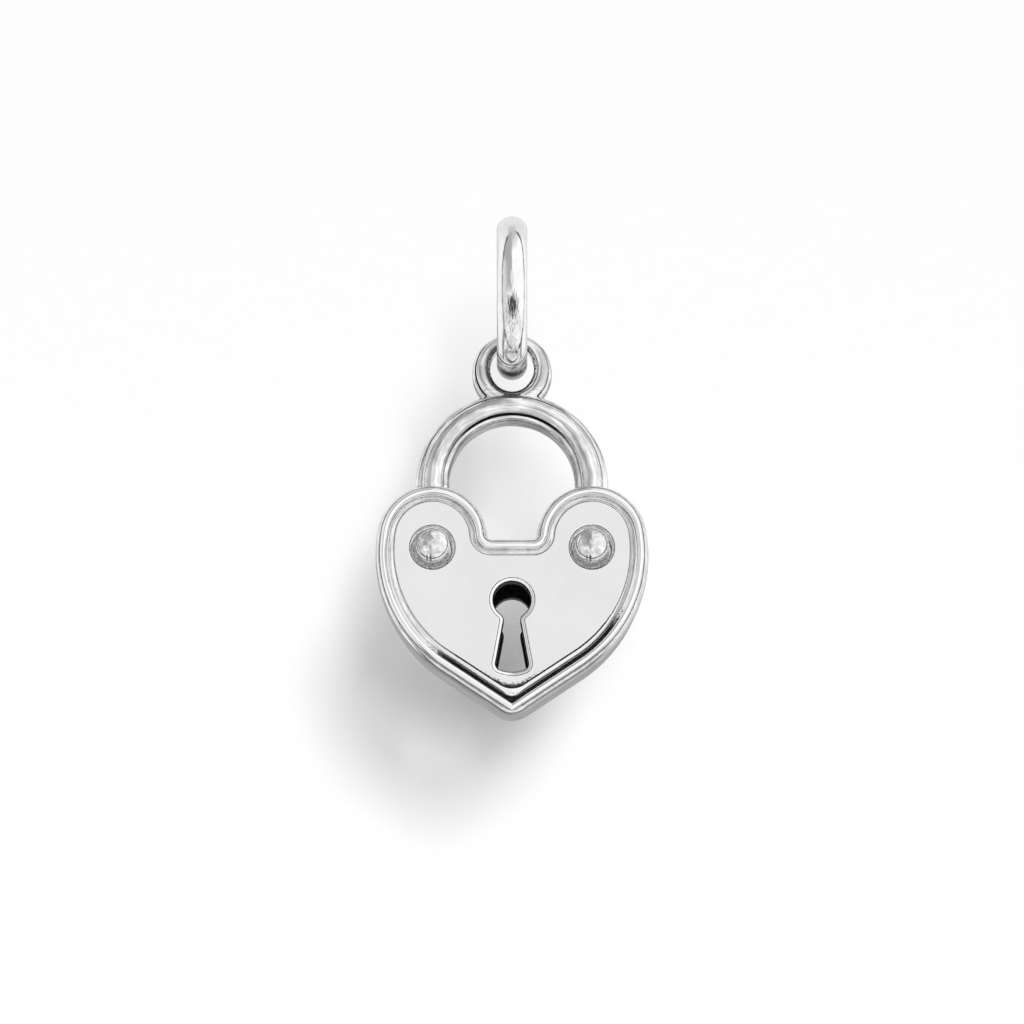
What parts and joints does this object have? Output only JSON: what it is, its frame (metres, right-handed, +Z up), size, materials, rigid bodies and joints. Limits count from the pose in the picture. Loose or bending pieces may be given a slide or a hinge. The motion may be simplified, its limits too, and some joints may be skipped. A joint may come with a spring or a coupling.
{
  "type": "heart padlock charm",
  "caption": "Heart-shaped padlock charm in polished silver with a round shackle, riveted face plates and a pierced keyhole, hanging from a jump ring.",
  "frame": {"origin": "inner top of the jump ring's hole, where the link or hook that holds the charm bears", "axes": "+Z up as it hangs, the keyhole's front face towards -Y, +X to the right"},
  "size_m": [0.0132, 0.008, 0.0251],
  "materials": {
    "ring_wire": "drawn silver wire, polished",
    "cast_silver": "cast silver, polished, dark in the grooves",
    "plate_silver": "flat silver, mirror polished",
    "rivet_silver": "hand-domed silver, polished"
  },
  "bodies": {
    "ring": {"jump_ring": "ring_wire"},
    "lock": {"shackle": "cast_silver", "case": "cast_silver", "front_plate": "plate_silver", "back_plate": "plate_silver", "rivet_left": "rivet_silver", "rivet_right": "rivet_silver"}
  },
  "joints": [
    {"name": "lock_swing", "type": "hinge", "parent": "ring", "child": "lock", "pos_m": [0, 0, -0.00575], "axis": [0, 1, 0], "range_deg": [-100, 100]}
  ]
}
